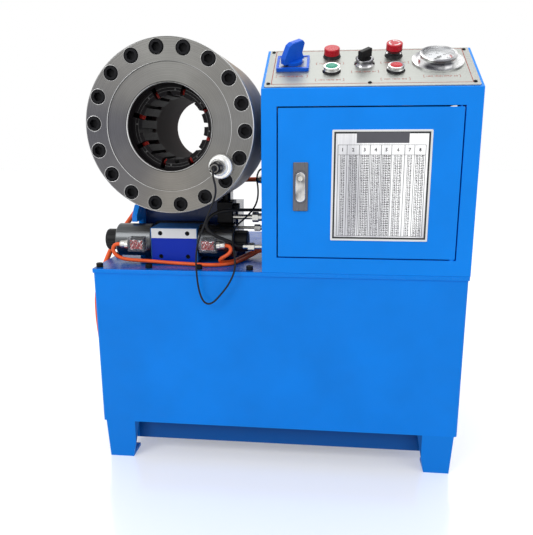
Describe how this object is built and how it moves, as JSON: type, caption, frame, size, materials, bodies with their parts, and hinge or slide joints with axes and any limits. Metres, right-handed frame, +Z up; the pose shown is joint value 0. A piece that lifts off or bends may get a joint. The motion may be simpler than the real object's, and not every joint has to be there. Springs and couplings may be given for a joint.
{
  "type": "hose crimping machine",
  "caption": "Hydraulic hose crimping machine: a round head with radial dies beside a sloped control box, on an oil-tank base with short legs.",
  "frame": {"origin": "on the floor, under the middle of the machine's box, without its power cord", "axes": "+X to the operator's right, +Y from the operator to the back, +Z up"},
  "size_m": [0.7213, 0.7419, 0.8072],
  "materials": {
    "machine_blue": "gloss",
    "box_blue": "gloss",
    "legs_blue": "gloss",
    "turned_steel": "turned",
    "die_steel": "ground",
    "black_steel": "satin",
    "zinc_steel": "plated",
    "bright_chrome": "polished",
    "panel_plate": "brushed",
    "table_plate": "brushed",
    "valve_grey": "satin",
    "valve_blue": "satin",
    "white_aluminium": "anodised",
    "black_plastic": "satin",
    "blue_plastic": "gloss",
    "red_plastic": "gloss",
    "green_plastic": "gloss",
    "grey_plastic": "satin",
    "clear_plastic": "clear",
    "gauge_glass": "clear",
    "orange_jacket": "satin",
    "black_jacket": "satin",
    "motor_grey": "painted"
  },
  "bodies": {
    "machine": {"base_cabinet": "machine_blue", "base_lid": "machine_blue", "lid_bolts": "black_steel", "underframe": "legs_blue", "filler_breather": "bright_chrome", "control_box": "box_blue", "control_panel": "panel_plate", "panel_bezels": "bright_chrome", "switch_plate": "blue_plastic", "pilot_lamp": "red_plastic", "gauge_case": "bright_chrome", "gauge_glass": "gauge_glass", "hinge_pins": "zinc_steel", "gear_plate": "zinc_steel", "switchgear": "grey_plastic", "motor_housing": "motor_grey", "pump": "motor_grey", "pedestal": "machine_blue", "front_flange": "turned_steel", "head_barrel": "machine_blue", "rear_flange": "machine_blue", "flange_bolts": "black_steel", "guide_sleeve": "turned_steel", "valve_subplate": "black_steel", "valve_body": "valve_blue", "solenoids": "valve_grey", "solenoid_caps": "black_plastic", "solenoid_plugs": "clear_plastic", "port_block": "black_steel", "wall_fittings": "zinc_steel", "stop_spindle": "turned_steel", "power_cord_run": "black_jacket", "power_cord_coil": "black_jacket", "power_plug": "black_plastic", "solenoid_cable_left": "orange_jacket", "solenoid_cable_right": "orange_jacket", "sensor_cable": "black_jacket", "gauge_hose": "black_jacket"},
    "door": {"door": "box_blue", "latch_plate": "bright_chrome", "data_plate": "table_plate"},
    "latch": {"latch_handle": "bright_chrome"},
    "main_switch": {"switch_handle": "blue_plastic"},
    "selector": {"selector_knob": "black_plastic"},
    "green_push": {"green_button": "green_plastic"},
    "red_push": {"red_button": "red_plastic"},
    "stop_push": {"stop_button": "red_plastic"},
    "needle": {"gauge_needle": "black_steel"},
    "thimble": {"stop_thimble": "white_aluminium"},
    "rod": {"contact_rod": "turned_steel"},
    "rotor": {"motor_rotor": "zinc_steel"},
    "ring_piston": {"piston": "turned_steel"},
    "die_1": {"master_die_1": "die_steel"},
    "die_2": {"master_die_2": "die_steel"},
    "die_3": {"master_die_3": "die_steel"},
    "die_4": {"master_die_4": "die_steel"},
    "die_5": {"master_die_5": "die_steel"},
    "die_6": {"master_die_6": "die_steel"},
    "die_7": {"master_die_7": "die_steel"},
    "die_8": {"master_die_8": "die_steel"}
  },
  "joints": [
    {"name": "piston_slide", "type": "slide", "parent": "machine", "child": "ring_piston", "axis": [0, -1, 0], "range_m": [0, 0.042]},
    {"name": "die_1_slide", "type": "slide", "parent": "machine", "child": "die_1", "axis": [-0.9969, 0, -0.0785], "range_m": [0, 0.0105]},
    {"name": "die_2_slide", "type": "slide", "parent": "machine", "child": "die_2", "axis": [-0.6494, 0, -0.7604], "range_m": [0, 0.0105]},
    {"name": "die_3_slide", "type": "slide", "parent": "machine", "child": "die_3", "axis": [0.0785, 0, -0.9969], "range_m": [0, 0.0105]},
    {"name": "die_4_slide", "type": "slide", "parent": "machine", "child": "die_4", "axis": [0.7604, 0, -0.6494], "range_m": [0, 0.0105]},
    {"name": "die_5_slide", "type": "slide", "parent": "machine", "child": "die_5", "axis": [0.9969, 0, 0.0785], "range_m": [0, 0.0105]},
    {"name": "die_6_slide", "type": "slide", "parent": "machine", "child": "die_6", "axis": [0.6494, 0, 0.7604], "range_m": [0, 0.0105]},
    {"name": "die_7_slide", "type": "slide", "parent": "machine", "child": "die_7", "axis": [-0.0785, 0, 0.9969], "range_m": [0, 0.0105]},
    {"name": "die_8_slide", "type": "slide", "parent": "machine", "child": "die_8", "axis": [-0.7604, 0, 0.6494], "range_m": [0, 0.0105]},
    {"name": "door_hinge", "type": "hinge", "parent": "machine", "child": "door", "pos_m": [0.3149, -0.1842, 0.423], "axis": [0, 0, 1], "range_deg": [0, 100]},
    {"name": "latch_turn", "type": "hinge", "parent": "door", "child": "latch", "pos_m": [0.0461, -0.1892, 0.5497], "axis": [0, 1, 0], "range_deg": [0, 90]},
    {"name": "main_switch_turn", "type": "hinge", "parent": "machine", "child": "main_switch", "pos_m": [0.0271, -0.11291, 0.76136], "axis": [0, -0.5069, 0.862], "range_deg": [0, 90]},
    {"name": "selector_turn", "type": "hinge", "parent": "machine", "child": "selector", "pos_m": [0.155, -0.11248, 0.76161], "axis": [0, -0.5069, 0.862], "range_deg": [0, 90]},
    {"name": "green_press", "type": "slide", "parent": "machine", "child": "green_push", "axis": [0, 0.5069, -0.862], "range_m": [0, 0.004], "stiffness_N_per_m": 600, "springref_m": -0.002},
    {"name": "red_press", "type": "slide", "parent": "machine", "child": "red_push", "axis": [0, 0.5069, -0.862], "range_m": [0, 0.004], "stiffness_N_per_m": 600, "springref_m": -0.002},
    {"name": "stop_press", "type": "slide", "parent": "machine", "child": "stop_push", "axis": [0, 0.5069, -0.862], "range_m": [0, 0.005], "stiffness_N_per_m": 600, "springref_m": -0.002},
    {"name": "needle_turn", "type": "hinge", "parent": "machine", "child": "needle", "pos_m": [0.2841, -0.10696, 0.76486], "axis": [0, 0.5069, -0.862], "range_deg": [0, 270]},
    {"name": "thimble_turn", "type": "hinge", "parent": "machine", "child": "thimble", "pos_m": [-0.092, -0.1962, 0.586], "axis": [0, -1, 0], "range_deg": [0, 1800]},
    {"name": "rod_slide", "type": "slide", "parent": "machine", "child": "rod", "axis": [0, 1, 0], "range_m": [0, 0.005]},
    {"name": "motor_turn", "type": "hinge", "parent": "machine", "child": "rotor", "pos_m": [0.1915, 0.0328, 0.3925], "axis": [0, 0, 1], "continuous": true}
  ],
  "couplings": [
    {"joint": "die_1_slide", "follows": "piston_slide", "ratio": 0.25},
    {"joint": "die_2_slide", "follows": "piston_slide", "ratio": 0.25},
    {"joint": "die_3_slide", "follows": "piston_slide", "ratio": 0.25},
    {"joint": "die_4_slide", "follows": "piston_slide", "ratio": 0.25},
    {"joint": "die_5_slide", "follows": "piston_slide", "ratio": 0.25},
    {"joint": "die_6_slide", "follows": "piston_slide", "ratio": 0.25},
    {"joint": "die_7_slide", "follows": "piston_slide", "ratio": 0.25},
    {"joint": "die_8_slide", "follows": "piston_slide", "ratio": 0.25},
    {"joint": "rod_slide", "follows": "thimble_turn", "m_per_rad": 0.00015915}
  ]
}
